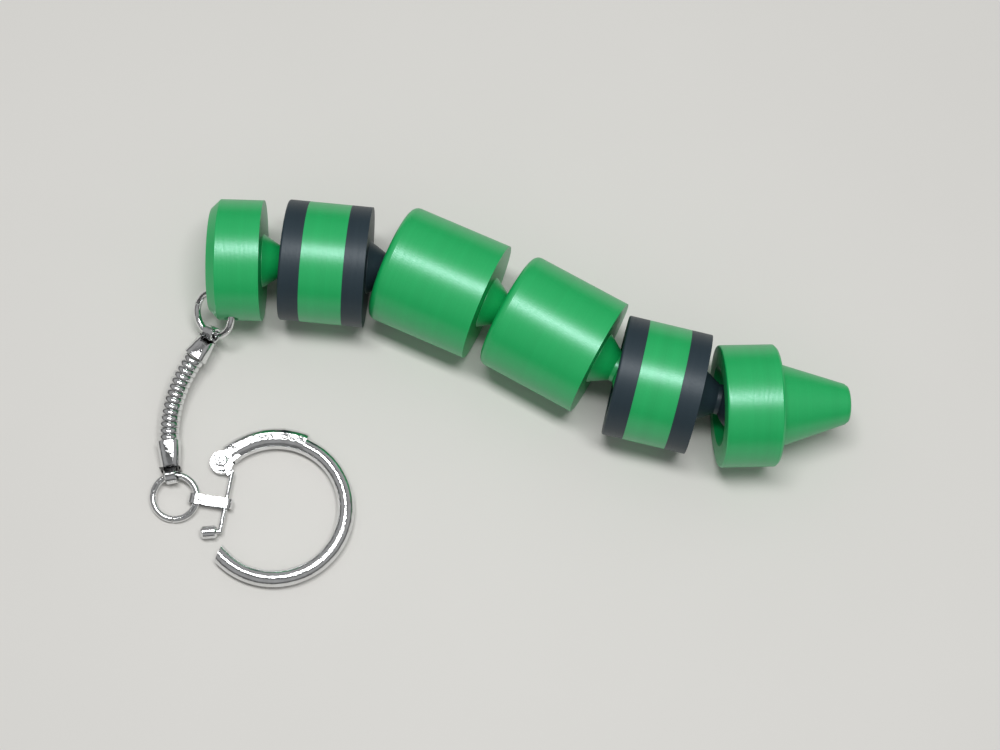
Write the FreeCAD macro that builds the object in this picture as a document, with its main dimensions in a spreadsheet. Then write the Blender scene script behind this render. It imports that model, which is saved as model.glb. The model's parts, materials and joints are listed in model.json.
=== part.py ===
import FreeCAD, Part
import math
import os
import Sketcher

# Articulated crayon key chain: six printed segments on ball joints, a snake chain and a snap key ring.
# +X runs along the crayon towards its tip, +Z is up, and the crayon lies on the plane Z = 0.
# Lengths are in millimetres and angles in degrees.

SIZES = {
    # the crayon's segments, each measured along its own axis
    "crayon_diameter": (20.0, "outside diameter of every segment"),
    "cap_length": (8.6, "end cap"),
    "cap_chamfer": (1.5, "chamfer round the cap's closed end"),
    "band_length": (13.9, "banded segment, both black stripes included"),
    "stripe_width": (3.45, "one black stripe"),
    "middle_length": (17.3, "plain segment"),
    "collar_length": (9.3, "full-width part of the tip segment"),
    "collar_chamfer": (0.4, "chamfer round the collar's front edge"),
    "nose_length": (12.0, "cone of the tip"),
    "nose_base_diameter": (14.2, "cone of the tip, at the collar"),
    "nose_end_diameter": (6.4, "cone of the tip, at its blunt end"),
    "nose_round": (0.6, "round on the blunt end"),
    "rear_round": (1.2, "round on the rear edge of a plain segment"),
    "stripe_round": (0.3, "round on the rear edge of a stripe and of the collar"),
    # the ball joints between them
    "joint_gap": (3.5, "from one segment's front face to the next one's rear face"),
    "pivot_depth": (4.5, "ball centre, behind the rear face of the segment that holds it"),
    "ball_diameter": (9.8, "ball head"),
    "ball_clearance": (0.2, "between ball and socket, all round"),
    "lip_hold": (0.6, "how far the socket's lip closes in over the ball, on the radius"),
    "mouth_diameter": (13.2, "socket's flared mouth, at the face"),
    "neck_base_diameter": (8.8, "neck cone, where it leaves the front face"),
    "neck_cone_length": (3.0, "neck cone, down to the waist"),
    "waist_diameter": (5.0, "neck at its waist"),
    "ball_flat": (4.25, "from the ball's centre to the flat that turns on the neck"),
    "twist_gap": (0.05, "between the neck's end and the ball's flat"),
    # the jump rings, and the curved tunnel through the cap's corner
    "jump_ring_diameter": (8.4, "outside diameter of both jump rings"),
    "jump_ring_wire": (1.15, "wire of both jump rings"),
    "jump_ring_turn": (357.0, "how far round the wire goes, short of its butt gap"),
    "tunnel_diameter": (2.4, "tunnel that the first jump ring runs through"),
    "ring_overhang": (0.7, "first ring's centre, in front of the cap's closed end"),
    "ring_inset": (1.4, "first ring's centre, in from the cap's side"),
    "ring_drop": (2.75, "first ring's centre, below the crayon's axis"),
    # the snake chain and its two folded ends
    "chain_diameter": (3.5, "outside diameter of the snake chain"),
    "link_pitch": (1.05, "from one link's pivot to the next"),
    "link_gap": (0.22, "between the shells of two links"),
    "link_round": (0.14, "chamfer on a shell's edges"),
    "stud_diameter": (2.16, "stud on a link's front"),
    "stud_reach": (0.22, "how far the stud goes past the pivot"),
    "cup_diameter": (2.4, "cup in a link's rear"),
    "cup_depth": (0.37, "cup in a link's rear"),
    "crimp_rim": (3.9, "folded end, width and height at the chain"),
    "crimp_end_width": (3.0, "folded end, width at the eye"),
    "crimp_end_height": (2.2, "folded end, height at the eye"),
    "crimp_round": (0.7, "rounded folds of a folded end"),
    "crimp_seam": (0.35, "gap where the sheet's two edges meet"),
    "upper_crimp_length": (3.8, "folded end at the cap, without its eye"),
    "lower_crimp_length": (4.7, "folded end at the key ring, without its eye"),
    "eye_radius": (1.5, "middle radius of an eye"),
    "eye_wire": (0.7, "thickness of an eye"),
    "eye_reach": (0.95, "eye's centre, past the folded end"),
    # the strap between the second jump ring and the gate
    "strap_length": (5.0, "from the jump ring's wire to the gate's bar"),
    "strap_width": (1.6, "strap, along the wires that it wraps"),
    "strap_sheet": (0.38, "thickness of the strap"),
    "strap_slack": (0.2, "jump ring's wire, in front of the middle of the loop's end"),
    "strap_clearance": (0.2, "between the strap and the jump ring's wire"),
    # the key ring
    "key_ring_diameter": (26.0, "outside diameter"),
    "key_ring_wire": (2.8, "round wire"),
    "bar_offset": (8.1, "gate's bar, from the ring's centre"),
    "bar_diameter": (0.8, "gate's bar"),
    "bar_below": (4.7, "bar, from the strap down to its foot"),
    "bar_above": (5.5, "bar, from the strap up to the lever's head"),
    "strap_to_centre": (0.5, "how far above the strap the ring's centre lies"),
    "rivet_side": (2.0, "rivet, outside the bar"),
    "rivet_height": (6.7, "rivet, above the strap"),
    "rivet_shank": (1.0, "rivet's shank"),
    "rivet_head": (2.1, "rivet's head, across"),
    "rivet_rise": (0.4, "rivet's head, high"),
    "rivet_dimple": (0.9, "dimple in the rivet's head, across"),
    "rivet_play": (0.05, "running clearance of the lever on the rivet, on the radius"),
    "lever_head_radius": (1.9, "lever's round head"),
    "lever_thickness": (1.3, "lever's head"),
    "lever_arm_width": (1.2, "arm from the head to the bar"),
    "lever_arm_length": (2.5, "arm, from the rivet"),
    "fork_ear_radius": (1.6, "round end of the fork's ears"),
    "fork_root_width": (2.4, "root between the ears and the sheath"),
    "fork_root_length": (3.0, "root, from the rivet"),
    "fork_height": (2.7, "over both ears"),
    "fork_play": (0.1, "between the lever's head and each ear"),
    "fork_seat": (0.02, "between the sheath and the wire in it"),
    "sheath_wall": (0.3, "sheath round the ring's upper end"),
    "sheath_outset": (0.4, "sheath's centre line, outside the wire's"),
    "sheath_crown": (3.0, "flat top of the sheath, above the plane it lies on"),
    "knob_diameter": (2.1, "thumb knob"),
    "knob_length": (2.6, "thumb knob"),
    "knob_round": (0.35, "rounds on the thumb knob"),
    "knob_peg": (0.9, "peg on the bar's foot that holds the knob"),
    "knob_bore": (0.87, "how deep the peg goes into the knob"),
    "knob_standoff": (0.5, "from the bar's axis to the knob"),
}

# How the segments lie at rest: each joint's bend, from the cap to the tip, anticlockwise from above.
BENDS = {"cap": -4.2, "band_a": -18.7, "middle_a": -5.4, "middle_b": 15.7, "band_b": 15.1}
CAP_HEADING = 15.9
# The first jump ring: its turn round the cap's corner, its tilt down towards the chain and its butt gap.
RING_TURN = -51.0
RING_TILT = 45.0
FIRST_GAP_AT = 200.0
# The snake chain: headings and slopes of its folded ends and links.
UPPER_EYE_AT = -60.0
UPPER_CRIMP_HEADING = -107.0
UPPER_CRIMP_SLOPE = -9.0
UPPER_EYE_ROLL = 90.0
LINK_COUNT = 14
FIRST_LINK_HEADING = -107.0
LINK_TURN = 2.86
FIRST_LINK_SLOPE = -10.2
LINK_RISE = 0.45
LOWER_CRIMP_HEADING = -67.0
LOWER_CRIMP_SLOPE = -3.0
LOWER_EYE_ROLL = 125.0
# The second jump ring, the strap and the key ring.
SECOND_RING_HEADING = 118.0
SECOND_RING_SLOPE = 10.5
SECOND_RING_ROLL = -5.0
SECOND_GAP_AT = 166.0
STRAP_AT = -106.0
STRAP_HEADING = 8.0
STRAP_ROLL = 7.0
KEY_RING_HEADING = 7.6
# Angles round the key ring's centre, anticlockwise from the direction away from the gate.
WIRE_START = 217.0
WIRE_END = 496.0
SHEATH_START = 76.0
SHEATH_END = 140.0
END_CUT_LEAN = 14.0
END_CUT_AT = (0.6, -8.2)
FORK_HEADING = 46.0
ARM_HEADING = -42.0
KNOB_HEADING = 194.0

V = FreeCAD.Vector
Place = FreeCAD.Placement
X_AXIS, Y_AXIS, Z_AXIS = V(1, 0, 0), V(0, 1, 0), V(0, 0, 1)

doc = FreeCAD.newDocument("CrayonKeyChain")
sheet = doc.addObject("Spreadsheet::Sheet", "Sizes")


class Size:
    """A size of the sheet, or a sum worked out from some: its number, and the text of its expression."""

    def __init__(self, number, text):
        self.number = float(number)
        self.text = text

    def joined(self, sign, other, number):
        return Size(number, f"({self.text} {sign} {other.text})")

    def __add__(self, other):
        other = as_size(other)
        return self.joined("+", other, self.number + other.number)

    def __sub__(self, other):
        other = as_size(other)
        return self.joined("-", other, self.number - other.number)

    def __mul__(self, other):
        other = as_size(other)
        return self.joined("*", other, self.number * other.number)

    def __truediv__(self, other):
        other = as_size(other)
        return self.joined("/", other, self.number / other.number)

    def __neg__(self):
        return Size(-self.number, f"(0 - {self.text})")


def as_size(value):
    return value if isinstance(value, Size) else Size(value, repr(float(value)))


def root(size):
    return Size(math.sqrt(size.number), f"sqrt({size.text})")


def size(alias):
    return Size(SIZES[alias][0], f"Sizes.{alias}")


def fill_sheet():
    for row, (alias, (number, meaning)) in enumerate(SIZES.items(), start=1):
        sheet.set(f"A{row}", alias)
        sheet.set(f"B{row}", str(number))
        sheet.set(f"C{row}", meaning)
        sheet.setAlias(f"B{row}", alias)
    doc.recompute()


fill_sheet()

# Sizes that several pieces share, worked out once.
RADIUS = size("crayon_diameter") / 2
BALL_RADIUS = size("ball_diameter") / 2
SOCKET_RADIUS = BALL_RADIUS + size("ball_clearance")
LIP_RADIUS = BALL_RADIUS - size("lip_hold")
LIP_DEPTH = size("pivot_depth") - root(SOCKET_RADIUS * SOCKET_RADIUS - LIP_RADIUS * LIP_RADIUS)
NECK_LENGTH = size("joint_gap") + size("pivot_depth") - size("ball_flat") - size("twist_gap")
NECK_TO_PIVOT = size("joint_gap") + size("pivot_depth")
JUMP_WIRE = size("jump_ring_wire") / 2
JUMP_RADIUS = size("jump_ring_diameter") / 2 - JUMP_WIRE
HALF_LINK_GAP = size("link_gap") / 2
KEY_WIRE = size("key_ring_wire") / 2
KEY_RADIUS = size("key_ring_diameter") / 2 - KEY_WIRE
FORK_FLOOR = size("fork_height") / 2
LEVER_HALF = size("lever_thickness") / 2
SEGMENT_LENGTHS = {
    "cap": size("cap_length"),
    "band_a": size("band_length"),
    "middle_a": size("middle_length"),
    "middle_b": size("middle_length"),
    "band_b": size("band_length"),
    "tip": size("collar_length"),
}


# ---- where every piece lies at rest

def shift(x=0.0, y=0.0, z=0.0):
    return Place(V(x, y, z), FreeCAD.Rotation())


def turn(axis, degrees):
    return Place(V(0, 0, 0), FreeCAD.Rotation(axis, degrees))


def aim(heading, slope=0.0):
    """Turns +X to a heading about the vertical, and up by a slope."""
    return turn(Z_AXIS, heading) * turn(Y_AXIS, -slope)


def at(point, rotation):
    return Place(point, rotation.Rotation)


def crayon_frames():
    """One frame a segment, at the centre of its rear face with +X along its axis, and one a ball, at its centre."""
    frames = {}
    frame = shift(z=RADIUS.number) * turn(Z_AXIS, CAP_HEADING)
    for name, length in SEGMENT_LENGTHS.items():
        frames[name] = frame
        if name in BENDS:
            ball = frame * shift(x=length.number + NECK_TO_PIVOT.number)
            frames["ball_" + name] = ball
            frame = ball * turn(Z_AXIS, BENDS[name]) * shift(x=-size("pivot_depth").number)
    return frames


def chain_frames(cap):
    """The jump ring's frame at its centre, a folded end's at its rim with +X to its eye, a link's at its pivot."""
    frames = {}
    radius = JUMP_RADIUS.number
    corner = V(size("ring_overhang").number, size("ring_inset").number - RADIUS.number, -size("ring_drop").number)
    tilted = turn(Z_AXIS, RING_TURN) * turn(X_AXIS, RING_TILT)
    first_ring = cap * at(corner, tilted)
    frames["first_ring"] = first_ring
    frames["first_ring_in_cap"] = at(corner, tilted)

    angle = math.radians(UPPER_EYE_AT)
    eye = first_ring.multVec(V(radius * math.cos(angle), radius * math.sin(angle), 0))
    direction = aim(UPPER_CRIMP_HEADING, UPPER_CRIMP_SLOPE)
    length = (size("upper_crimp_length") + size("eye_reach")).number
    rim = eye + direction.multVec(V(length, 0, 0))
    frames["upper_crimp"] = at(rim, direction * turn(Z_AXIS, 180))
    frames["upper_eye"] = at(eye, direction)

    pivot = rim + direction.multVec(V(HALF_LINK_GAP.number, 0, 0))
    for index in range(LINK_COUNT):
        direction = aim(FIRST_LINK_HEADING + index * LINK_TURN, FIRST_LINK_SLOPE + index * LINK_RISE)
        frames[f"link_{index + 1:02d}"] = at(pivot, direction)
        pivot = pivot + direction.multVec(V(size("link_pitch").number, 0, 0))

    direction = aim(LOWER_CRIMP_HEADING, LOWER_CRIMP_SLOPE)
    rim = pivot + direction.multVec(V(HALF_LINK_GAP.number, 0, 0))
    frames["lower_pivot"] = at(pivot, direction)
    frames["lower_crimp"] = at(rim, direction)
    length = (size("lower_crimp_length") + size("eye_reach")).number
    eye = rim + direction.multVec(V(length, 0, 0))
    frames["lower_eye"] = at(eye, direction)

    outward = aim(SECOND_RING_HEADING, SECOND_RING_SLOPE) * turn(X_AXIS, SECOND_RING_ROLL)
    second_ring = at(eye - outward.multVec(V(radius, 0, 0)), outward)
    frames["second_ring"] = second_ring
    angle = math.radians(STRAP_AT)
    wire = second_ring.multVec(V(radius * math.cos(angle), radius * math.sin(angle), 0))
    frames["strap"] = at(wire, aim(STRAP_HEADING) * turn(X_AXIS, STRAP_ROLL)) * shift(-size("strap_slack").number)
    bar = frames["strap"].multVec(V(size("strap_length").number, 0, 0))
    frames["gate"] = at(bar, aim(KEY_RING_HEADING))
    centre = shift(size("bar_offset").number, size("strap_to_centre").number)
    frames["key_ring"] = frames["gate"] * centre
    frames["rivet"] = frames["gate"] * shift(-size("rivet_side").number, size("rivet_height").number)
    return frames


FRAMES = crayon_frames()
FRAMES.update(chain_frames(FRAMES["cap"]))


# ---- modelling helpers

def new_body(label, frame):
    body = doc.addObject("PartDesign::Body", label)
    body.Label = label
    body.Placement = FRAMES[frame]
    return body


def bind(feature, **sizes):
    """Sets each property and ties it to the sheet; a placement's part is given as Placement_Base_x."""
    for name, value in sizes.items():
        value = as_size(value)
        path = name.replace("_", ".") if name.startswith(("Placement", "AttachmentOffset")) else name
        if path == name:
            setattr(feature, name, value.number)
        feature.setExpression(path, value.text)


def origin_plane(body, role):
    return next(f for f in body.Origin.OriginFeatures if f.Role == role)


def draw(body, name, corners, plane="XY_Plane"):
    """A closed outline of straight edges, every corner tied to the sheet by its distances from the origin."""
    sketch = body.newObject("Sketcher::SketchObject", name)
    sketch.AttachmentSupport = (origin_plane(body, plane), [""])
    sketch.MapMode = "FlatFace"
    corners = [(as_size(x), as_size(y)) for x, y in corners]
    points = [V(x.number, y.number, 0) for x, y in corners]
    count = len(points)
    for index, point in enumerate(points):
        sketch.addGeometry(Part.LineSegment(point, points[(index + 1) % count]), False)
    for index in range(count):
        sketch.addConstraint(Sketcher.Constraint("Coincident", index, 2, (index + 1) % count, 1))
    for index, corner in enumerate(corners):
        for kind, distance, axis in (("DistanceX", corner[0], -2), ("DistanceY", corner[1], -1)):
            if distance.number == 0:
                sketch.addConstraint(Sketcher.Constraint("PointOnObject", index, 1, axis))
                continue
            rule = Sketcher.Constraint(kind, -1, 1, index, 1, distance.number)
            sketch.setExpression(f"Constraints[{sketch.addConstraint(rule)}]", distance.text)
    return sketch


def spin(body, name, corners, cut=False, plane="XY_Plane", axis="H_Axis"):
    """Turns an outline round its axis, into the body or out of it."""
    sketch = draw(body, name + "_outline", corners, plane)
    feature = body.newObject("PartDesign::Groove" if cut else "PartDesign::Revolution", name)
    feature.Profile = sketch
    feature.ReferenceAxis = (sketch, [axis])
    feature.Angle = 360.0
    return feature


def shape_in(body, kind, name, frame=None, **sizes):
    """A primitive added to the body or cut from it, at a frame of the body's own."""
    feature = body.newObject("PartDesign::" + kind, name)
    if frame is not None:
        feature.Placement = frame
    bind(feature, **sizes)
    return feature


def rounded(body, name, radius, test, kind="Fillet"):
    """Rounds the edges of the body so far that pass the test."""
    doc.recompute()
    base = body.Tip
    names = [f"Edge{i}" for i, edge in enumerate(base.Shape.Edges, start=1) if test(edge)]
    if not names:
        raise RuntimeError(f"{body.Label}: no edge for {name}")
    feature = body.newObject("PartDesign::" + kind, name)
    feature.Base = (base, names)
    bind(feature, **{"Radius" if kind == "Fillet" else "Size": radius})
    return feature


def is_circle(radius, x):
    """Tests for a full circle of this radius round the body's X axis, at this place along it."""
    def test(edge):
        curve = edge.Curve
        if not isinstance(curve, Part.Circle) or abs(curve.Radius - radius.number) > 0.01:
            return False
        return abs(curve.Center.x - as_size(x).number) < 0.01
    return test


# ---- the printed crayon

def cut_socket(body, mouth=True):
    """The ball's socket, with its lip and flared mouth where the piece has the rear face."""
    shape_in(body, "SubtractiveSphere", "socket", Radius=SOCKET_RADIUS, Placement_Base_x=size("pivot_depth"))
    if mouth:
        spin(body, "mouth", [(0, 0), (0, size("mouth_diameter") / 2), (LIP_DEPTH, LIP_RADIUS), (LIP_DEPTH, 0)],
             cut=True)


def neck_corners(face):
    """The neck's outline in front of a face: a cone, a waist and a flat end."""
    return [
        (face, size("neck_base_diameter") / 2),
        (face + size("neck_cone_length"), size("waist_diameter") / 2),
        (face + NECK_LENGTH, size("waist_diameter") / 2),
        (face + NECK_LENGTH, 0),
    ]


def make_cap():
    body = new_body("cap_segment", "cap")
    chamfer, length = size("cap_chamfer"), size("cap_length")
    spin(body, "turned", [(0, 0), (0, RADIUS - chamfer), (chamfer, RADIUS), (length, RADIUS)]
         + neck_corners(length))
    shape_in(body, "SubtractiveTorus", "tunnel", FRAMES["first_ring_in_cap"], Radius1=JUMP_RADIUS,
             Radius2=size("tunnel_diameter") / 2)


def make_ball(segment, number):
    """A ball head: a sphere with the flat that turns on its neck's end."""
    body = new_body(f"ball_{number}", "ball_" + segment)
    shape_in(body, "AdditiveSphere", "ball", Radius=BALL_RADIUS)
    width = size("ball_diameter")
    depth = BALL_RADIUS - size("ball_flat")
    shape_in(body, "SubtractiveBox", "flat", Length=depth, Width=width, Height=width, Placement_Base_x=-BALL_RADIUS,
             Placement_Base_y=-BALL_RADIUS, Placement_Base_z=-BALL_RADIUS)


def make_middle(segment, label):
    body = new_body(label, segment)
    length = size("middle_length")
    spin(body, "turned", [(0, 0), (0, RADIUS), (length, RADIUS)] + neck_corners(length))
    rounded(body, "rear_edge", size("rear_round"), is_circle(RADIUS, 0))
    cut_socket(body)


def make_band(segment):
    """A banded segment: stripe, core and stripe lie face to face, as the print's layers change colour."""
    stripe, length = size("stripe_width"), size("band_length")
    rear = new_body(segment + "_rear", segment)
    spin(rear, "turned", [(0, 0), (0, RADIUS), (stripe, RADIUS), (stripe, 0)])
    rounded(rear, "rear_edge", size("stripe_round"), is_circle(RADIUS, 0))
    cut_socket(rear)
    core = new_body(segment + "_core", segment)
    core_end = length - stripe
    spin(core, "turned", [(stripe, 0), (stripe, RADIUS), (core_end, RADIUS), (core_end, 0)])
    cut_socket(core, mouth=False)
    front = new_body(segment + "_front", segment)
    spin(front, "turned", [(core_end, 0), (core_end, RADIUS), (length, RADIUS)] + neck_corners(length))


def make_tip():
    body = new_body("tip_segment", "tip")
    collar, chamfer = size("collar_length"), size("collar_chamfer")
    end = collar + size("nose_length")
    end_radius = size("nose_end_diameter") / 2
    spin(body, "turned", [
        (0, 0), (0, RADIUS), (collar - chamfer, RADIUS), (collar, RADIUS - chamfer),
        (collar, size("nose_base_diameter") / 2), (end, end_radius), (end, 0),
    ])
    rounded(body, "nose_edge", size("nose_round"), is_circle(end_radius, end))
    rounded(body, "rear_edge", size("stripe_round"), is_circle(RADIUS, 0))
    cut_socket(body)


# ---- the snake chain and its ends

def make_jump_ring(label, frame, gap_heading):
    """A wire ring with its butt gap at a heading of its own."""
    ring = doc.addObject("Part::Torus", label)
    ring.Label = label
    bind(ring, Radius1=JUMP_RADIUS, Radius2=JUMP_WIRE, Angle3=size("jump_ring_turn"))
    ring.Placement = FRAMES[frame] * turn(Z_AXIS, gap_heading)


def make_crimp(label, frame, length, roll, stud):
    """A folded end: a tapered box with rounded folds and a seam below, a rolled eye, and a stud or a cup."""
    body = new_body(label, frame)
    half_rim = size("crimp_rim") / 2
    half_width, half_height = size("crimp_end_width") / 2, size("crimp_end_height") / 2
    # a wedge tapers along its own Y, so it is turned to lie along X
    lying = turn(Z_AXIS, -90)
    shape_in(body, "AdditiveWedge", "fold", lying, Xmin=-half_rim, Xmax=half_rim, Zmin=-half_rim, Zmax=half_rim,
             Ymin=0, Ymax=length, X2min=-half_width, X2max=half_width, Z2min=-half_height, Z2max=half_height)
    rounded(body, "folds", size("crimp_round"), lambda edge: abs(edge.Length - length.number) < 0.4)
    seam = size("crimp_seam")
    shape_in(body, "SubtractiveBox", "seam", Length=length, Width=seam, Height=size("crimp_end_height") / 2,
             Placement_Base_y=-seam / 2, Placement_Base_z=-half_rim)
    shape_in(body, "AdditiveTorus", "eye", turn(X_AXIS, roll), Radius1=size("eye_radius"),
             Radius2=size("eye_wire") / 2, Placement_Base_x=length + size("eye_reach"))
    if stud:
        reach = HALF_LINK_GAP + size("stud_reach")
        shape_in(body, "AdditiveCylinder", "stud", turn(Y_AXIS, 90), Radius=size("stud_diameter") / 2,
                 Height=reach + half_rim / 2, Placement_Base_x=-reach)
    else:
        shape_in(body, "SubtractiveCylinder", "cup", turn(Y_AXIS, 90), Radius=size("cup_diameter") / 2,
                 Height=size("cup_depth"))


def make_link(number):
    """One link: a round shell with a cup behind and a stud in front, its own pivot at the origin."""
    body = new_body(f"chain_link_{number:02d}", f"link_{number:02d}")
    shell = size("chain_diameter") / 2
    edge = size("link_round")
    back = HALF_LINK_GAP
    front = size("link_pitch") - HALF_LINK_GAP
    cup, stud = size("cup_diameter") / 2, size("stud_diameter") / 2
    tip = size("link_pitch") + size("stud_reach")
    spin(body, "turned", [
        (back + size("cup_depth"), 0), (back + size("cup_depth"), cup), (back, cup), (back, shell - edge),
        (back + edge, shell), (front - edge, shell), (front, shell - edge), (front, stud), (tip, stud), (tip, 0),
    ])


def make_strap():
    """A flat strip folded into a long loop round the jump ring's wire and the gate's bar."""
    inner = JUMP_WIRE + size("strap_clearance")
    loops = []
    for name, radius, width in (
        ("outside", inner + size("strap_sheet"), size("strap_width")),
        ("inside", inner, size("strap_width") * 2),
    ):
        flat = doc.addObject("Part::Box", f"strap_{name}_flat")
        bind(flat, Length=size("strap_length"), Width=width, Height=radius * 2,
             Placement_Base_y=-width / 2, Placement_Base_z=-radius)
        ends = []
        for place, along in (("ring", as_size(0)), ("bar", size("strap_length"))):
            end = doc.addObject("Part::Cylinder", f"strap_{name}_{place}_end")
            end.Placement = turn(X_AXIS, 90)
            bind(end, Radius=radius, Height=width, Placement_Base_x=along, Placement_Base_y=width / 2)
            ends.append(end)
        loop = doc.addObject("Part::MultiFuse", f"strap_{name}")
        loop.Shapes = [flat] + ends
        loops.append(loop)
    strap = doc.addObject("Part::Cut", "gate_strap")
    strap.Base, strap.Tool = loops
    strap.Label = "gate_strap"
    strap.Placement = FRAMES["strap"]


# ---- the snap key ring

def make_key_ring():
    """Round wire bent to a C, its free end cut nearly parallel to the gate's bar."""
    body = new_body("key_ring", "key_ring")
    shape_in(body, "AdditiveTorus", "wire", turn(Z_AXIS, WIRE_START), Radius1=KEY_RADIUS, Radius2=KEY_WIRE,
             Angle3=WIRE_END - WIRE_START)
    x, y = END_CUT_AT
    in_ring = V(x - size("bar_offset").number, y - size("strap_to_centre").number, 0)
    reach = size("key_ring_wire") * 2
    cut = at(in_ring, turn(Z_AXIS, -END_CUT_LEAN)) * shift(-reach.number, -reach.number / 2, -KEY_WIRE.number)
    shape_in(body, "SubtractiveBox", "end_cut", cut, Length=reach, Width=reach, Height=size("key_ring_wire"))
    return body


def make_fork():
    """The sheath on the ring's upper end, and the two ears that hold the lever's head."""
    body = new_body("hinge_fork", "key_ring")
    sheath_radius = KEY_RADIUS + size("sheath_outset")
    tube = KEY_WIRE + size("sheath_wall")
    shape_in(body, "AdditiveTorus", "sheath", turn(Z_AXIS, SHEATH_START), Radius1=sheath_radius, Radius2=tube,
             Angle3=SHEATH_END - SHEATH_START)
    rivet = shift(-(size("bar_offset") + size("rivet_side")).number,
                  (size("rivet_height") - size("strap_to_centre")).number)
    along = rivet * turn(Z_AXIS, FORK_HEADING)
    ear, root_width, half = size("fork_ear_radius"), size("fork_root_width"), FORK_FLOOR.number
    shape_in(body, "AdditiveCylinder", "ears", rivet * shift(z=-half), Radius=ear, Height=size("fork_height"))
    shape_in(body, "AdditiveBox", "root", along * shift(0, -root_width.number / 2, -half),
             Length=size("fork_root_length"), Width=root_width, Height=size("fork_height"))
    shape_in(body, "SubtractiveTorus", "wire_seat", turn(Z_AXIS, WIRE_START), Radius1=KEY_RADIUS,
             Radius2=KEY_WIRE + size("fork_seat"), Angle3=WIRE_END - WIRE_START)
    slot = LEVER_HALF + size("fork_play")
    shape_in(body, "SubtractiveCylinder", "slot", rivet * shift(z=-slot.number),
             Radius=size("lever_head_radius") + size("fork_play") * 2, Height=slot * 2)
    shape_in(body, "SubtractiveCylinder", "rivet_hole", rivet * shift(z=-half),
             Radius=size("rivet_shank") / 2 + size("fork_seat"), Height=size("fork_height"))
    wide = size("key_ring_diameter") * 1.5
    corner = shift(-wide.number / 2, -wide.number / 2)
    for name, floor in (("under", -FORK_FLOOR - KEY_WIRE), ("crown", size("sheath_crown") - KEY_WIRE)):
        shape_in(body, "SubtractiveBox", name, corner * shift(z=floor.number), Length=wide, Width=wide,
                 Height=KEY_WIRE)


def make_rivet():
    """Rivet with a dimpled head above the upper ear, its shank flush below."""
    body = new_body("hinge_rivet", "rivet")
    shank, head = size("rivet_shank") / 2, size("rivet_head") / 2
    dimple = size("rivet_dimple") / 2
    rise = size("rivet_rise")
    low = size("fork_seat")
    top = size("fork_height") + low
    spin(body, "turned", [
        (0, 0), (shank, 0), (shank, top), (head, top), (head, top + rise / 2), (head - rise / 2, top + rise),
        (dimple, top + rise), (dimple / 2, top + rise / 3), (0, top + rise / 3),
    ], plane="XZ_Plane", axis="V_Axis")
    body.Placement = FRAMES["rivet"] * shift(z=-FORK_FLOOR.number)


def make_lever():
    """The gate: a round head on the rivet, a short arm, a thin bar and the peg for its knob."""
    body = new_body("gate_lever", "gate")
    rivet = shift(-size("rivet_side").number, size("rivet_height").number, -LEVER_HALF.number)
    thick = size("lever_thickness")
    shape_in(body, "AdditiveCylinder", "head", rivet, Radius=size("lever_head_radius"), Height=thick)
    width = size("lever_arm_width")
    shape_in(body, "AdditiveBox", "arm", rivet * turn(Z_AXIS, ARM_HEADING) * shift(y=-width.number / 2),
             Length=size("lever_arm_length"), Width=width, Height=thick)
    bar = size("bar_diameter") / 2
    shape_in(body, "AdditiveCylinder", "bar", turn(X_AXIS, -90), Radius=bar,
             Height=size("bar_below") + size("bar_above"), Placement_Base_y=-size("bar_below"))
    shape_in(body, "AdditiveSphere", "foot", Radius=bar, Placement_Base_y=-size("bar_below"))
    peg = size("knob_peg") / 2
    reach = size("knob_standoff") + size("knob_bore")
    out = turn(Z_AXIS, KNOB_HEADING) * turn(Y_AXIS, 90)
    shape_in(body, "AdditiveCylinder", "peg", out, Radius=peg, Height=reach, Placement_Base_y=-size("bar_below"))
    hole = size("rivet_shank") / 2 + size("rivet_play")
    shape_in(body, "SubtractiveCylinder", "rivet_hole", rivet, Radius=hole, Height=thick)


def make_knob():
    """Thumb knob on the bar's peg, its own axis along Z before it is placed."""
    body = new_body("gate_knob", "gate")
    radius, length, edge = size("knob_diameter") / 2, size("knob_length"), size("knob_round")
    hole = size("knob_peg") / 2 + size("fork_seat")
    depth = size("knob_bore") + size("fork_seat")
    spin(body, "turned", [
        (hole, 0), (radius - edge, 0), (radius, edge), (radius, length - edge), (radius - edge, length),
        (0, length), (0, depth), (hole, depth),
    ], plane="XZ_Plane", axis="V_Axis")
    out = turn(Z_AXIS, KNOB_HEADING) * turn(Y_AXIS, 90) * shift(z=size("knob_standoff").number)
    body.Placement = FRAMES["gate"] * shift(y=-size("bar_below").number) * out


def build():
    make_cap()
    for number, segment in enumerate(BENDS, start=1):
        make_ball(segment, number)
    make_band("band_a")
    make_middle("middle_a", "middle_segment_a")
    make_middle("middle_b", "middle_segment_b")
    make_band("band_b")
    make_tip()
    make_jump_ring("cap_jump_ring", "first_ring", FIRST_GAP_AT)
    make_crimp("upper_crimp", "upper_crimp", size("upper_crimp_length"), UPPER_EYE_ROLL, stud=True)
    for number in range(1, LINK_COUNT + 1):
        make_link(number)
    make_crimp("lower_crimp", "lower_crimp", size("lower_crimp_length"), LOWER_EYE_ROLL, stud=False)
    make_jump_ring("swivel_jump_ring", "second_ring", SECOND_GAP_AT)
    make_strap()
    make_key_ring()
    make_fork()
    make_rivet()
    make_lever()
    make_knob()
    doc.recompute()


def sub_parts():
    """The objects that are pieces of the model: the bodies, the jump rings and the strap."""
    return [o for o in doc.Objects if o.TypeId == "PartDesign::Body"
            or o.TypeId == "Part::Torus" or o.Label == "gate_strap"]


def check(pieces):
    for item in doc.Objects:
        if {"Invalid", "Error"} & set(item.State):
            raise RuntimeError(f"{item.Label} failed: {item.State}")
    for piece in pieces:
        shape = piece.Shape
        if shape.isNull() or not shape.isValid() or len(shape.Solids) != 1:
            raise RuntimeError(f"{piece.Label} isn't one valid solid")


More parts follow.
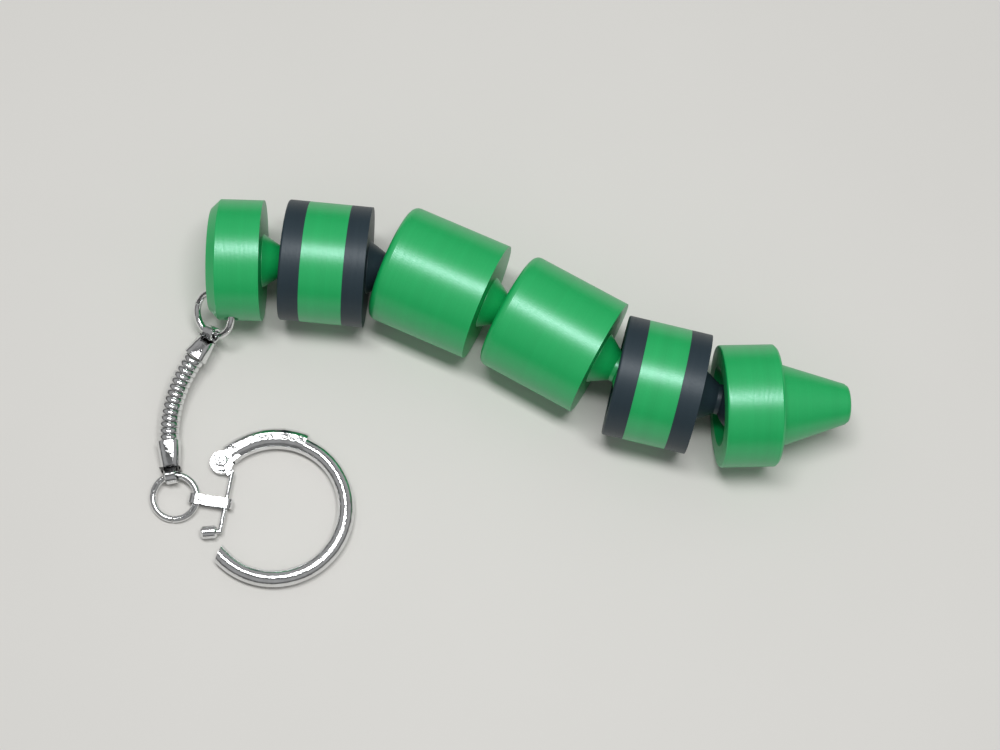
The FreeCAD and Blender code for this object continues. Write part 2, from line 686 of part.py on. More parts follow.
def move_to_origin(pieces):
    """Moves the whole model so that its origin is the middle of its box's underside. Returns the move."""
    box = FreeCAD.BoundBox()
    for piece in pieces:
        box.add(piece.Shape.optimalBoundingBox(False, False))
    move = V(-box.Center.x, -box.Center.y, 0)
    for piece in pieces:
        piece.Placement = Place(move, FreeCAD.Rotation()) * piece.Placement
    doc.recompute()
    return move


build()
PIECES = sub_parts()
check(PIECES)
MOVE = move_to_origin(PIECES)
check(PIECES)
os.makedirs("parts", exist_ok=True)
for piece in PIECES:
    piece.Shape.exportStep(f"parts/{piece.Label}.step")
print(f"{len(PIECES)} pieces written")
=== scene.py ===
import json
import logging
import math
from dataclasses import dataclass, field
from enum import Enum
from typing import Callable, Optional, Union

import bmesh
import bpy
from mathutils import Matrix, Vector

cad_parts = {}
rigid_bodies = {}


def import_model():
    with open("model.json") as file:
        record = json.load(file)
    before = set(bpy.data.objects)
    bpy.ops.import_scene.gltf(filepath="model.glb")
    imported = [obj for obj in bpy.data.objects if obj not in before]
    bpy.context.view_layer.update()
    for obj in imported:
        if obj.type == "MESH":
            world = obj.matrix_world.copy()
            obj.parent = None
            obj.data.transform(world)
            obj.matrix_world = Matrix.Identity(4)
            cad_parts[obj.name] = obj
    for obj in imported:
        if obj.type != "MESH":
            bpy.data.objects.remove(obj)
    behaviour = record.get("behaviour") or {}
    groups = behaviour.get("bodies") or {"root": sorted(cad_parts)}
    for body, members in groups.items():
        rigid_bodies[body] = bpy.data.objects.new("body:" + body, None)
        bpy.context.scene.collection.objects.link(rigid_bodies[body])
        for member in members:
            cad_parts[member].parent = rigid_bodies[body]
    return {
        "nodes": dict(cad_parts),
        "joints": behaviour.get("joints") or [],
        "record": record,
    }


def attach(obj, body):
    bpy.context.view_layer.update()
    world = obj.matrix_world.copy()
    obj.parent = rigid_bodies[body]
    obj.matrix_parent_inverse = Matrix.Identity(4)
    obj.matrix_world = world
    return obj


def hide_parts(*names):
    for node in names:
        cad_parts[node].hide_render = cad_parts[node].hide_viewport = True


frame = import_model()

log = logging.getLogger("crayon_key_chain")
MM = 0.001
TURN = 2.0 * math.pi
NOISE_ROUGHNESS = 0.55
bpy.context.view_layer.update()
JOINTS: dict[str, dict] = {joint["name"]: joint for joint in frame["joints"]}
MOUNTS: dict[str, dict] = {mount["name"]: mount for mount in frame["record"]["mounts"]}
Outline = list[tuple[float, float]]


# ---- places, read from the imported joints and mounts

def joint_place(name: str) -> Vector:
    """Returns where a joint lies, in metres."""
    return Vector(JOINTS[name]["pos_m"])


def joint_axis(name: str) -> Vector:
    """Returns a joint's axis."""
    return Vector(JOINTS[name]["axis"]).normalized()


def along(origin: Vector, direction: Vector, up: Vector = Vector((0, 0, 1))) -> Matrix:
    """Makes a frame whose X runs along a direction.

    Args:
        origin: the frame's origin, in metres.
        direction: the way that X points.
        up: the way that Z points, as nearly as it can.

    Returns:
        The frame as a matrix.
    """
    x = direction.normalized()
    y = up.cross(x).normalized()
    z = x.cross(y)
    turned = Matrix((x, y, z)).transposed().to_4x4()
    return Matrix.Translation(origin) @ turned


# ---- shader maths

class Value:
    """A shader socket that takes part in Python expressions; each sum adds its Math node."""

    def __init__(self, nodes: "NodeTree", socket: bpy.types.NodeSocket) -> None:
        """Keeps the socket and the node tree that it belongs to."""
        self.nodes = nodes
        self.socket = socket

    def _math(self, operation: str, *inputs: "Number") -> "Value":
        """Adds one Math node and returns its result."""
        node = self.nodes.node("ShaderNodeMath", {"operation": operation}, dict(enumerate(inputs)))
        return Value(self.nodes, node.outputs[0])

    def __add__(self, other: "Number") -> "Value":
        """Returns self + other."""
        return self._math("ADD", self, other)

    def __sub__(self, other: "Number") -> "Value":
        """Returns self - other."""
        return self._math("SUBTRACT", self, other)

    def __rsub__(self, other: "Number") -> "Value":
        """Returns other - self."""
        return self._math("SUBTRACT", other, self)

    def __mul__(self, other: "Number") -> "Value":
        """Returns self * other."""
        return self._math("MULTIPLY", self, other)

    __radd__ = __add__
    __rmul__ = __mul__

    def power(self, exponent: "Number") -> "Value":
        """Returns self to a power."""
        return self._math("POWER", self, exponent)

    def limited(self) -> "Value":
        """Returns self kept between 0 and 1."""
        return self._math("MINIMUM", self._math("MAXIMUM", self, 0.0), 1.0)


Number = Union[Value, float]


class NodeTree:
    """A node tree, built by one method for every kind of node."""

    def __init__(self, tree: bpy.types.NodeTree) -> None:
        """Keeps the tree."""
        self.tree = tree

    def node(self, kind: str, settings: Optional[dict] = None,
             inputs: Optional[dict] = None) -> bpy.types.Node:
        """Adds a node.

        Args:
            kind: the node's type.
            settings: its own settings, such as a Math node's operation or a ramp's stops.
            inputs: the value or link of each input, by name or number.

        Returns:
            The node.
        """
        made = self.tree.nodes.new(kind)
        for key, setting in (settings or {}).items():
            if key == "stops":
                self._stops(made.color_ramp, setting)
            else:
                setattr(made, key, setting)
        for key, value in (inputs or {}).items():
            self.feed(made.inputs[key], value)
        return made

    def _stops(self, ramp: bpy.types.ColorRamp, stops: list[tuple[float, tuple]]) -> None:
        """Sets a ramp's stops, each a place and a colour."""
        while len(ramp.elements) < len(stops):
            ramp.elements.new(1.0)
        for element, (place, colour) in zip(ramp.elements, stops):
            element.position = place
            element.color = (*colour, 1.0)

    def feed(self, socket: bpy.types.NodeSocket, value: object) -> None:
        """Links a socket, or sets it where the value is a plain one."""
        if isinstance(value, Value):
            value = value.socket
        if isinstance(value, bpy.types.NodeSocket):
            self.tree.links.new(value, socket)
        else:
            socket.default_value = value


class Shader(NodeTree):
    """One material's nodes."""

    def __init__(self, name: str) -> None:
        """Makes the material with its Principled surface."""
        self.material = bpy.data.materials.new(name)
        self.material.use_nodes = True
        super().__init__(self.material.node_tree)
        self.surface = next(n for n in self.tree.nodes if n.type == "BSDF_PRINCIPLED")

    def place(self) -> bpy.types.NodeSocket:
        """Returns the Object coordinates, in metres."""
        return self.node("ShaderNodeTexCoord").outputs["Object"]

    def distance_along(self, direction: Vector) -> Value:
        """Returns how far a point lies along a direction, in millimetres."""
        scaled = tuple(component / MM for component in direction.normalized())
        dot = self.node("ShaderNodeVectorMath", {"operation": "DOT_PRODUCT"}, {0: self.place(), 1: scaled})
        return Value(self, dot.outputs["Value"])

    def noise(self, scale: float, detail: float) -> Value:
        """Returns noise over the object, with its scale in cells a metre."""
        inputs = {"Vector": self.place(), "Scale": scale, "Detail": detail, "Roughness": NOISE_ROUGHNESS}
        made = self.node("ShaderNodeTexNoise", None, inputs)
        return Value(self, made.outputs["Fac"])

    def noise_on(self, value: Value, scale: float, detail: float) -> Value:
        """Returns noise that changes only with a value, as from layer to layer."""
        made = self.node("ShaderNodeTexNoise", {"noise_dimensions": "1D"},
                         {"W": value, "Scale": scale, "Detail": detail})
        return Value(self, made.outputs["Fac"])

    def blend(self, factor: Number, first: tuple, second: tuple) -> bpy.types.NodeSocket:
        """Returns a mix of two colours."""
        mixed = self.node("ShaderNodeMix", {"data_type": "RGBA"}, {0: factor})
        colours = [s for s in mixed.inputs if s.type == "RGBA"]
        for socket, colour in zip(colours, (first, second)):
            self.feed(socket, (*colour, 1.0))
        return next(s for s in mixed.outputs if s.type == "RGBA")

    def bump(self, height: Value, strength: float, distance: float) -> None:
        """Raises the surface by a height."""
        inputs = {"Height": height, "Strength": strength, "Distance": distance}
        made = self.node("ShaderNodeBump", None, inputs)
        self.feed(self.surface.inputs["Normal"], made.outputs["Normal"])


# ---- finishes

class Substance(Enum):
    """What a piece is made of, each with a short name."""

    GREEN_PLASTIC = "green_print"
    BLACK_PLASTIC = "black_print"
    CHROMED_STEEL = "chromed_steel"


@dataclass(frozen=True)
class PrintedFinish:
    """Plastic laid down in thin layers, which show as fine rings round each piece.

    The layer is in millimetres and the relief in metres.
    """

    name: str
    colour: tuple[float, float, float]
    pale: tuple[float, float, float]
    roughness: float
    gloss: float
    glow: tuple[float, float, float]
    substance: Substance
    layer: float = 0.2
    bands_a_layer: float = 0.12
    specks_a_metre: float = 2600.0
    relief: float = 0.00004

    def dress(self, piece: bpy.types.Object, axis: Vector) -> None:
        """Gives a piece this finish.

        Args:
            piece: the object.
            axis: the way that the piece was printed, its layers being square to it.
        """
        shader = Shader(f"{self.name}_{piece.name}")
        height = shader.distance_along(axis)
        layers = shader.noise_on(height, 1.0 / self.layer, 2.0)
        bands = shader.noise_on(height, self.bands_a_layer / self.layer, 1.0)
        specks = shader.noise(self.specks_a_metre, 4.0)
        tone = (layers * 0.5 + bands * 0.6 + specks * 0.2 - 0.15).limited()
        shader.feed(shader.surface.inputs["Base Color"], shader.blend(tone, self.colour, self.pale))
        rough = self.roughness + (layers - 0.5) * 0.10 + (specks - 0.5) * 0.08
        shader.feed(shader.surface.inputs["Roughness"], rough.limited())
        shader.surface.inputs["IOR"].default_value = self.gloss
        shader.surface.inputs["Specular Tint"].default_value = (*self.glow, 1.0)
        shader.bump(layers * 0.6 + specks * 0.5, 0.3, self.relief)
        put_on(piece, shader.material)


@dataclass(frozen=True)
class PlatedFinish:
    """Bright plate on steel, with a little waviness and tarnish. The relief is in metres."""

    name: str
    colour: tuple[float, float, float]
    dull: tuple[float, float, float]
    roughness: float
    substance: Substance
    clouds_a_metre: float = 700.0
    grains_a_metre: float = 9000.0
    relief: float = 0.00016

    def dress(self, piece: bpy.types.Object) -> None:
        """Gives a piece this finish."""
        shader = Shader(f"{self.name}_{piece.name}")
        cloud = shader.noise(self.clouds_a_metre, 4.0)
        grain = shader.noise(self.grains_a_metre, 2.0)
        tarnish = (cloud.power(3.0) * 1.6).limited()
        shader.surface.inputs["Metallic"].default_value = 1.0
        shader.feed(shader.surface.inputs["Base Color"], shader.blend(tarnish, self.colour, self.dull))
        rough = self.roughness + tarnish * 0.12 + (grain - 0.5) * 0.04
        shader.feed(shader.surface.inputs["Roughness"], rough.limited())
        shader.bump(cloud * 1.2 + grain * 0.2, 0.35, self.relief)
        put_on(piece, shader.material)


def put_on(piece: bpy.types.Object, material: bpy.types.Material) -> None:
    """Puts a material in a piece's only slot."""
    if not piece.material_slots:
        piece.data.materials.append(material)
    for slot in piece.material_slots:
        slot.material = material


GREEN = PrintedFinish(name="silk_green", colour=(0.003, 0.40, 0.095), pale=(0.006, 0.48, 0.120),
                      roughness=0.35, gloss=1.9, glow=(0.72, 1.0, 1.0), substance=Substance.GREEN_PLASTIC)
BLACK = PrintedFinish(name="satin_black", colour=(0.014, 0.029, 0.040), pale=(0.022, 0.040, 0.052),
                      roughness=0.46, gloss=1.5, glow=(0.9, 0.95, 1.0), substance=Substance.BLACK_PLASTIC)
CHROME = PlatedFinish(name="bright_plate", colour=(0.86, 0.87, 0.88), dull=(0.60, 0.60, 0.59), roughness=0.06,
                      substance=Substance.CHROMED_STEEL)


# ---- modelling with Blender's own tools

def deselect() -> None:
    """Leaves every object unselected."""
    for thing in bpy.context.view_layer.objects:
        thing.select_set(False)


def start(name: str) -> bpy.types.Object:
    """Names the primitive that was just added."""
    made = bpy.context.object
    made.name = name
    made.data.name = name
    return made


def settle(piece: bpy.types.Object, place: Matrix, smooth: float = 35.0) -> bpy.types.Object:
    """Puts a finished mesh in its place, with its object at the origin, and shades it.

    Args:
        piece: the object, modelled about its own origin.
        place: where it goes.
        smooth: the angle up to which two faces are shaded as one, in degrees.

    Returns:
        The object.
    """
    piece.data.transform(place)
    deselect()
    piece.select_set(True)
    bpy.context.view_layer.objects.active = piece
    bpy.ops.object.shade_smooth_by_angle(angle=math.radians(smooth))
    return piece


def join_into(piece: bpy.types.Object, other: bpy.types.Object) -> None:
    """Joins another object's mesh into a piece."""
    deselect()
    other.select_set(True)
    piece.select_set(True)
    bpy.context.view_layer.objects.active = piece
    bpy.ops.object.join()


def cut_away(piece: bpy.types.Object, cutter: bpy.types.Object) -> None:
    """Cuts one closed mesh out of another, and removes the cutter."""
    deselect()
    piece.select_set(True)
    bpy.context.view_layer.objects.active = piece
    bpy.ops.object.modifier_add(type="BOOLEAN")
    cut = piece.modifiers[-1]
    cut.operation = "DIFFERENCE"
    cut.solver = "EXACT"
    cut.object = cutter
    bpy.ops.object.modifier_apply(modifier=cut.name)
    bpy.data.objects.remove(cutter)


def pick_vertices(piece: bpy.types.Object, test: Callable[[Vector], bool]) -> None:
    """Selects, in edit mode, the vertices whose place passes a test."""
    mesh = bmesh.from_edit_mesh(piece.data)
    for vertex in mesh.verts:
        vertex.select_set(test(vertex.co))
    mesh.select_flush_mode()
    bmesh.update_edit_mesh(piece.data)


def pick_edges(piece: bpy.types.Object, test: Callable[[Vector, Vector], bool]) -> None:
    """Selects, in edit mode, the edges whose two ends pass a test."""
    bpy.ops.mesh.select_all(action="DESELECT")
    mesh = bmesh.from_edit_mesh(piece.data)
    for edge in mesh.edges:
        edge.select_set(test(edge.verts[0].co, edge.verts[1].co))
    bmesh.update_edit_mesh(piece.data)


def lathe(name: str, outline: Outline, place: Matrix, steps: int = 96) -> bpy.types.Object:
    """Turns an outline round its X axis into a closed solid.

    Args:
        name: the piece's name.
        outline: points as (distance along the axis, radius) in millimetres, from the axis back to the axis or
            round a closed loop.
        place: the frame whose X is the axis.
        steps: faces round the axis.

    Returns:
        The object.
    """
    deselect()
    bpy.ops.mesh.primitive_plane_add(size=MM)
    piece = start(name)
    bpy.ops.object.mode_set(mode="EDIT")
    bpy.ops.mesh.select_all(action="SELECT")
    bpy.ops.mesh.merge(type="CENTER")
    points = [Vector((x, 0.0, r)) * MM for x, r in outline]
    bpy.ops.transform.translate(value=points[0])
    for before, after in zip(points, points[1:]):
        bpy.ops.mesh.extrude_vertices_move(TRANSFORM_OT_translate={"value": after - before})
    bpy.ops.mesh.select_all(action="SELECT")
    bpy.ops.mesh.spin(steps=steps, angle=TURN, center=(0, 0, 0), axis=(1, 0, 0))
    bpy.ops.mesh.select_all(action="SELECT")
    bpy.ops.mesh.remove_doubles(threshold=0.002 * MM)
    bpy.ops.mesh.normals_make_consistent(inside=False)
    bpy.ops.object.mode_set(mode="OBJECT")
    return settle(piece, place)


# ---- the printed crayon

@dataclass
class JointSizes:
    """The ball joints' sizes, in millimetres."""

    gap: float = 3.5
    depth: float = 4.5
    socket: float = 5.1
    lip: float = 4.3
    mouth: float = 6.6
    neck_base: float = 4.4
    cone: float = 3.0
    waist: float = 2.5
    neck: float = 3.7
    arc_steps: int = 14


@dataclass
class Crayon:
    """The printed segments, in millimetres; each is turned with its layers' ridges."""

    radius: float = 10.0
    cap: float = 8.6
    cap_chamfer: float = 1.5
    band: float = 13.9
    stripe: float = 3.45
    middle: float = 17.3
    collar: float = 9.3
    nose: float = 12.0
    nose_base: float = 7.1
    nose_end: float = 3.2
    edge_round: float = 1.2
    layer: float = 0.2
    ridge: float = 0.012
    groove_share: float = 0.22
    edge_break: float = 0.3
    collar_break: float = 0.4
    nose_round: float = 0.6
    nose_flare: float = 0.1
    nose_taper: float = 0.15
    step: float = 0.05
    ring_radius: float = 3.625
    tunnel_radius: float = 1.2
    joint: JointSizes = field(default_factory=JointSizes)

    def segment_place(self, twist: str, length: float) -> Matrix:
        """Returns the frame at a segment's rear face, from the joint that turns on its neck."""
        axis = joint_axis(twist)
        back = length + self.joint.gap + self.joint.depth
        return along(joint_place(twist) - axis * back * MM, axis)

    def tip_place(self) -> Matrix:
        """Returns the frame at the tip segment's rear face, from its end mount."""
        mount = MOUNTS["tip_end"]
        axis = Vector(mount["axis"])
        return along(Vector(mount["pos_m"]) - axis * (self.collar + self.nose) * MM, axis)

    def layered(self, start_x: float, end_x: float, start_r: float, end_r: float) -> Outline:
        """Outlines a stretch of wall with one small ridge a layer.

        Args:
            start_x: where the stretch begins, along the axis.
            end_x: where it ends.
            start_r: its radius at the start.
            end_r: its radius at the end.

        Returns:
            The stretch's points, with both ends.
        """
        count = max(1, round(abs(end_x - start_x) / self.layer))
        points: Outline = []
        for index in range(count):
            for part, dip in ((0.0, self.ridge), (self.groove_share, 0.0), (1.0 - self.groove_share, 0.0)):
                share = (index + part) / count
                x = start_x + (end_x - start_x) * share
                points.append((x, start_r + (end_r - start_r) * share - dip))
        points.append((end_x, end_r - self.ridge))
        return points

    def rounded(self, radius: float, steps: int = 5) -> Outline:
        """Outlines a rounded rear edge, from the rear face to the wall."""
        return [
            (radius - radius * math.cos(math.pi / 2 * k / steps),
             self.radius - radius + radius * math.sin(math.pi / 2 * k / steps))
            for k in range(steps + 1)
        ]

    def socket_arc(self, first: float, last: float) -> Outline:
        """Outlines the ball's socket between two angles, which start at its floor."""
        j = self.joint
        angles = (first + (last - first) * k / j.arc_steps for k in range(j.arc_steps + 1))
        return [(j.depth + j.socket * math.cos(angle), j.socket * math.sin(angle)) for angle in angles]

    def socket(self, first: float = 0.0) -> Outline:
        """Outlines the ball's socket from its floor, or from an angle, out to its lip and mouth."""
        lip_angle = math.pi / 2 + math.acos(self.joint.lip / self.joint.socket)
        return self.socket_arc(first, lip_angle) + [(0.0, self.joint.mouth)]

    def neck(self, face: float) -> Outline:
        """Outlines the neck in front of a face, down to the axis."""
        j = self.joint
        return ([(face, j.neck_base)] + self.layered(face + self.step, face + j.cone, j.neck_base, j.waist)
                + [(face + j.neck, j.waist), (face + j.neck, 0.0)])

    def finish(self, piece: bpy.types.Object, look: PrintedFinish, place: Matrix, node: str,
               body: str) -> None:
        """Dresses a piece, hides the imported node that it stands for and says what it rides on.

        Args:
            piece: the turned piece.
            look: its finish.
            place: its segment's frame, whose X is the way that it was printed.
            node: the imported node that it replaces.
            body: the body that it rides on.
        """
        look.dress(piece, place.to_3x3() @ Vector((1, 0, 0)))
        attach(piece, body)
        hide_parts(node)
        log.info("%s rides on %s", piece.name, body)

    def make_cap(self) -> None:
        """Builds the end cap, with the tunnel that its jump ring runs through."""
        place = self.segment_place("twist_1", self.cap)
        c = self.cap_chamfer
        outline = ([(0.0, 0.0)] + self.layered(0.0, c, self.radius - c, self.radius)
                   + self.layered(c, self.cap, self.radius, self.radius) + self.neck(self.cap))
        piece = lathe("cap_shell", outline, place)
        self.bore_tunnel(piece)
        self.finish(piece, GREEN, place, "cap_segment", "cap_body")

    def bore_tunnel(self, piece: bpy.types.Object) -> None:
        """Bores the curved tunnel for the cap's jump ring."""
        rim, other = joint_place("cap_ring_swing"), joint_place("upper_end_swing")
        tangent = joint_axis("cap_ring_swing")
        normal = tangent.cross(rim - other).normalized()
        outward = normal.cross(tangent)
        centre = rim - outward * self.ring_radius * MM
        deselect()
        bpy.ops.mesh.primitive_torus_add(major_segments=72, minor_segments=20,
                                         major_radius=self.ring_radius * MM,
                                         minor_radius=self.tunnel_radius * MM)
        borer = start("tunnel_borer")
        turn = Vector((0, 0, 1)).rotation_difference(normal).to_matrix().to_4x4()
        borer.data.transform(Matrix.Translation(centre) @ turn)
        cut_away(piece, borer)
        log.info("the cap's tunnel is bored: %d faces", len(piece.data.polygons))

    def make_middle(self, twist: str, node: str, body: str) -> None:
        """Builds a plain segment."""
        place = self.segment_place(twist, self.middle)
        outline = (self.socket() + self.rounded(self.edge_round)
                   + self.layered(self.edge_round, self.middle, self.radius, self.radius)
                   + self.neck(self.middle))
        piece = lathe(node + "_shell", outline, place)
        self.finish(piece, GREEN, place, node, body)

    def make_band(self, twist: str, stem: str) -> None:
        """Builds a banded segment's stripe, core and stripe."""
        place = self.segment_place(twist, self.band)
        body = stem + "_body"
        core_end = self.band - self.stripe
        edge = math.acos((self.stripe - self.joint.depth) / self.joint.socket)
        rear = (self.socket(edge) + self.rounded(self.edge_break, 3)
                + self.layered(self.edge_break, self.stripe, self.radius, self.radius))
        rear.append(rear[0])
        middle = (self.socket_arc(0.0, edge) + self.layered(self.stripe, core_end, self.radius, self.radius)
                  + [(core_end, 0.0)])
        front = ([(core_end, 0.0)] + self.layered(core_end, self.band, self.radius, self.radius)
                 + self.neck(self.band))
        for part, outline, look in (("rear", rear, BLACK), ("core", middle, GREEN), ("front", front, BLACK)):
            piece = lathe(f"{stem}_{part}_shell", outline, place)
            self.finish(piece, look, place, f"{stem}_{part}", body)

    def make_tip(self) -> None:
        """Builds the collar and the blunt cone."""
        place = self.tip_place()
        end = self.collar + self.nose
        blunt, shoulder = self.nose_round, self.radius - self.collar_break
        nose = [(end - blunt + blunt * math.sin(a), self.nose_end - blunt + blunt * math.cos(a))
                for a in (math.pi / 8 * k for k in range(5))]
        outline = (self.socket() + self.rounded(self.edge_break, 3)
                   + self.layered(self.edge_break, self.collar - self.collar_break, self.radius, self.radius)
                   + [(self.collar, shoulder), (self.collar, self.nose_base)]
                   + self.layered(self.collar + self.step, end - blunt, self.nose_base - self.nose_flare,
                                  self.nose_end + self.nose_taper)
                   + nose + [(end, 0.0)])
        piece = lathe("tip_shell", outline, place)
        self.finish(piece, GREEN, place, "tip_segment", "tip_body")

    def build(self) -> None:
        """Builds every segment and dresses the balls."""
        self.make_cap()
        self.make_band("twist_2", "band_a")
        self.make_middle("twist_3", "middle_segment_a", "middle_a_body")
        self.make_middle("twist_4", "middle_segment_b", "middle_b_body")
        self.make_band("twist_5", "band_b")
        self.make_tip()
        for number in range(1, 6):
            look = BLACK if number in (2, 5) else GREEN
            look.dress(frame["nodes"][f"ball_{number}"], joint_axis(f"twist_{number}"))


# ---- the snake chain and its folded ends

@dataclass
class SnakeChain:
    """The snake chain: ribbed, wavy shells that nest in each other. In millimetres."""

    count: int = 14
    pitch: float = 1.05
    radius: float = 1.75
    groove: float = 0.36
    wave: float = 0.16
    clearance: float = 0.03
    fullness: float = 0.7
    rib_steps: int = 8

    def outline(self) -> Outline:
        """Outlines one shell: a rounded rib with a groove on each side."""
        half = self.pitch / 2
        ends = self.radius - self.groove
        rib = [(half - (half - self.clearance) * math.cos(math.pi * k / self.rib_steps),
                ends + self.groove * math.sin(math.pi * k / self.rib_steps) ** self.fullness)
               for k in range(self.rib_steps + 1)]
        return [(self.clearance, 0.0)] + rib + [(self.pitch - self.clearance, 0.0)]

    def ripple(self, piece: bpy.types.Object) -> None:
        """Bends a shell into its two waves, along its own axis."""
        for vertex in piece.data.vertices:
            around = math.atan2(vertex.co.y, vertex.co.z)
            share = Vector((vertex.co.y, vertex.co.z)).length / (self.radius * MM)
            vertex.co.x += self.wave * MM * share * math.cos(2.0 * around)

    def build(self) -> None:
        """Models one shell and copies it to every link."""
        pattern = lathe("chain_shell", self.outline(), Matrix.Identity(4), 48)
        self.ripple(pattern)
        for number in range(1, self.count + 1):
            start_at = joint_place(f"chain_hinge_{number:02d}")
            direction = joint_place(f"chain_hinge_{number + 1:02d}") - start_at
            shell = pattern.copy()
            shell.data = pattern.data.copy()
            bpy.context.scene.collection.objects.link(shell)
            shell.name = shell.data.name = f"chain_shell_{number:02d}"
            shell.data.transform(along(start_at, direction))
            CHROME.dress(shell)
            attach(shell, f"link_{number:02d}_body")
            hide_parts(f"chain_link_{number:02d}")
        bpy.data.objects.remove(pattern)
        log.info("%d chain shells", self.count)


@dataclass
class FoldedEnd:
    """A sheet folded over the chain's end and rolled round a jump ring. In millimetres."""

    name: str
    body: str
    chain_joint: str
    ring_joint: str
    gap: float = 0.11
    eye_reach: float = 0.95
    rim: float = 3.9
    end_width: float = 3.0
    end_height: float = 2.2
    fold: float = 1.3
    lip: float = 0.18
    roll_radius: float = 1.42
    sheet: float = 0.45
    roll_half: float = 0.95
    roll_edge: float = 0.15
    tolerance: float = 0.01

    def place(self) -> tuple[Matrix, float]:
        """Returns the frame at the rim with X towards the ring, and the folded sheet's length."""
        pivot, eye = joint_place(self.chain_joint), joint_place(self.ring_joint)
        direction = (eye - pivot).normalized()
        length = (eye - pivot).length / MM - self.gap - self.eye_reach
        return along(pivot + direction * self.gap * MM, direction), length

    def sleeve(self, place: Matrix, length: float) -> bpy.types.Object:
        """Folds the sleeve: a tapered box with round folds."""
        deselect()
        bpy.ops.mesh.primitive_cube_add(size=MM)
        piece = start(self.name + "_fold")
        bpy.ops.object.mode_set(mode="EDIT")
        bpy.ops.transform.resize(value=(length, self.rim, self.rim))
        bpy.ops.transform.translate(value=(length / 2 * MM, 0, 0))
        pick_vertices(piece, lambda at: at.x > length / 2 * MM)
        bpy.ops.transform.resize(value=(1.0, self.end_width / self.rim, self.end_height / self.rim))
        pick_edges(piece, lambda one, other: abs(one.x - other.x) > length / 2 * MM)
        bpy.ops.mesh.bevel(offset=self.fold * MM, segments=5, affect="EDGES")
        pick_edges(piece, lambda one, other: abs(one.x - other.x) < self.tolerance * MM)
        bpy.ops.mesh.bevel(offset=self.lip * MM, segments=3, affect="EDGES")
        bpy.ops.object.mode_set(mode="OBJECT")
        return settle(piece, place, smooth=40.0)

    def roll(self) -> bpy.types.Object:
        """Rolls the sheet's end round the jump ring's wire."""
        inner, outer = self.roll_radius - self.sheet, self.roll_radius
        half, edge = self.roll_half, self.roll_edge
        outline = [(-half, inner), (-half, outer - edge), (edge - half, outer), (half - edge, outer),
                   (half, outer - edge), (half, inner), (-half, inner)]
        place = along(joint_place(self.ring_joint), joint_axis(self.ring_joint))
        return lathe(self.name + "_roll", outline, place, 48)

    def build(self) -> None:
        """Builds the folded end as one piece."""
        place, length = self.place()
        piece, roll = self.sleeve(place, length), self.roll()
        join_into(piece, roll)
        CHROME.dress(piece)
        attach(piece, self.body)
        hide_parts(self.name)
        log.info("%s rides on %s", piece.name, self.body)


# ---- the plated pieces

@dataclass
class Hardware:
    """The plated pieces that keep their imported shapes."""

    nodes: tuple[str, ...] = ("cap_jump_ring", "swivel_jump_ring", "gate_strap", "key_ring", "hinge_fork",
                              "hinge_rivet", "gate_lever", "gate_knob")

    def build(self) -> None:
        """Dresses each piece."""
        for name in self.nodes:
            CHROME.dress(frame["nodes"][name])
            log.info("%s is dressed", name)


# ---- the studio

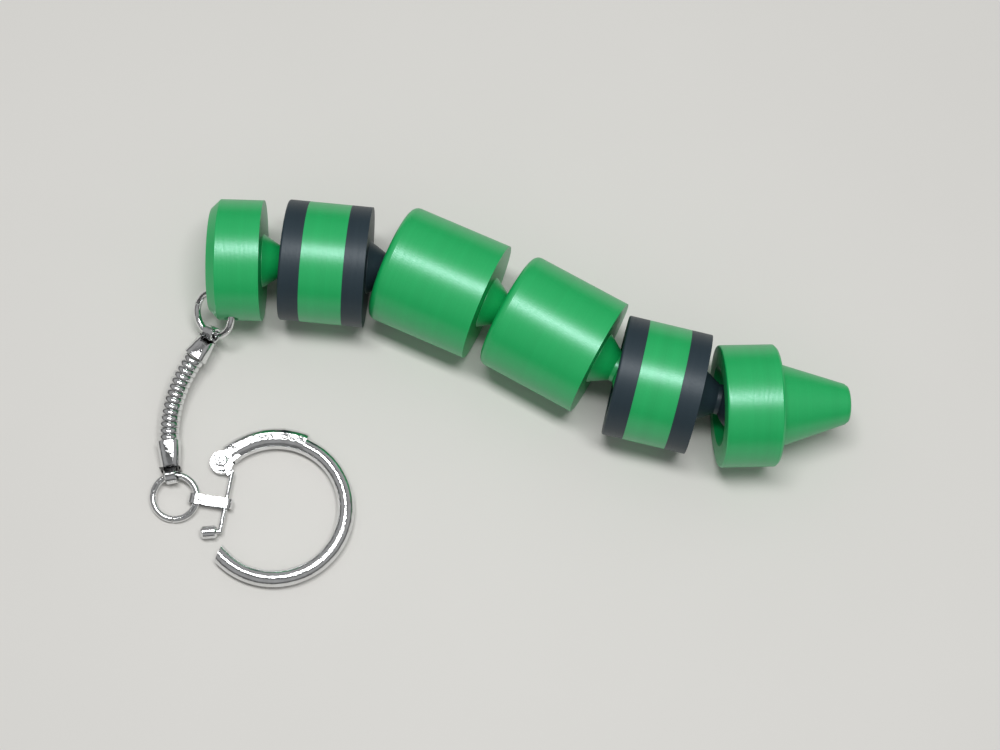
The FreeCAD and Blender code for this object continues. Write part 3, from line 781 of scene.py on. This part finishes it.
@dataclass
class Studio:
    """The floor, the lights and the camera; lengths in metres, the lens in millimetres, angles in degrees."""

    lens: float = 72.03
    azimuth: float = 9.84
    elevation: float = 72.26
    roll: float = 7.23
    distance: float = 0.3271
    sensor: float = 36.0
    aside: tuple[float, float, float] = (-0.00223, -0.01045, 0.0)
    floor_size: float = 3.0
    floor_dark: tuple[float, float, float] = (0.68, 0.67, 0.64)
    floor_pale: tuple[float, float, float] = (0.75, 0.74, 0.71)
    lamp_place: tuple[float, float, float] = (0.0, 0.02, 0.65)
    lamp_size: tuple[float, float] = (0.42, 0.12)
    lamp_power: float = 3.0
    sky_stops: tuple[tuple[float, float], ...] = ((0.12, 0.05), (0.5, 0.38), (0.84, 0.36), (0.97, 0.10))
    sky_strength: float = 0.9

    @property
    def target(self) -> Vector:
        """The point that the camera and the lamp look at, beside the crayon's middle joint."""
        return joint_place("bend_3") + Vector(self.aside)

    def floor(self) -> None:
        """Lays the pale floor."""
        deselect()
        bpy.ops.mesh.primitive_plane_add(size=self.floor_size, location=(0, 0, 0))
        ground = start("floor")
        shader = Shader("pale_floor")
        tone = (shader.noise(18.0, 4.0) * 0.5 + 0.25).limited()
        shader.feed(shader.surface.inputs["Base Color"], shader.blend(tone, self.floor_dark, self.floor_pale))
        shader.surface.inputs["Roughness"].default_value = 0.6
        put_on(ground, shader.material)

    def lamp(self) -> None:
        """Hangs a soft panel overhead that faces the object."""
        data = bpy.data.lights.new("overhead", "AREA")
        data.shape = "RECTANGLE"
        data.size, data.size_y = self.lamp_size
        data.energy = self.lamp_power
        lamp = bpy.data.objects.new("overhead", data)
        lamp.location = self.lamp_place
        aim = self.target - Vector(self.lamp_place)
        lamp.rotation_euler = aim.to_track_quat("-Z", "Y").to_euler()
        bpy.context.scene.collection.objects.link(lamp)

    def sky(self) -> None:
        """Sets a studio light from all round, dark below and dim straight overhead."""
        world = bpy.data.worlds.new("studio")
        bpy.context.scene.world = world
        world.use_nodes = True
        nodes = NodeTree(world.node_tree)
        coordinates = nodes.node("ShaderNodeTexCoord")
        split = nodes.node("ShaderNodeSeparateXYZ", None, {0: coordinates.outputs["Generated"]})
        stops = [(place, (level, level, level)) for place, level in self.sky_stops]
        ramp = nodes.node("ShaderNodeValToRGB", {"stops": stops}, {0: split.outputs["Z"]})
        back = world.node_tree.nodes["Background"]
        nodes.feed(back.inputs["Color"], ramp.outputs[0])
        back.inputs["Strength"].default_value = self.sky_strength

    def camera(self) -> None:
        """Sets the camera at its angle."""
        azimuth, elevation = math.radians(self.azimuth), math.radians(self.elevation)
        away = Vector((math.sin(azimuth) * math.cos(elevation), -math.cos(azimuth) * math.cos(elevation),
                       math.sin(elevation)))
        look = along(self.target + away * self.distance, away)
        data = bpy.data.cameras.new("camera")
        data.lens = self.lens
        data.sensor_width = self.sensor
        camera = bpy.data.objects.new("camera", data)
        x, y, z = look.col[1].to_3d(), look.col[2].to_3d(), look.col[0].to_3d()
        facing = Matrix((x, y, z)).transposed() @ Matrix.Rotation(math.radians(self.roll), 3, "Z")
        camera.matrix_world = Matrix.Translation(look.translation) @ facing.to_4x4()
        bpy.context.scene.collection.objects.link(camera)
        bpy.context.scene.camera = camera

    def build(self) -> None:
        """Builds the whole studio."""
        self.floor()
        self.sky()
        self.lamp()
        self.camera()
        bpy.context.scene.view_settings.view_transform = "Standard"


def main() -> None:
    """Builds the scene, piece by piece."""
    logging.basicConfig(level=logging.INFO, format="%(name)s: %(message)s")
    Crayon().build()
    SnakeChain().build()
    FoldedEnd("upper_crimp", "upper_end_body", "chain_hinge_01", "upper_end_swing").build()
    FoldedEnd("lower_crimp", "lower_end_body", "chain_hinge_15", "swivel_ring_swing").build()
    Hardware().build()
    Studio().build()


if __name__ == "__main__":
    main()
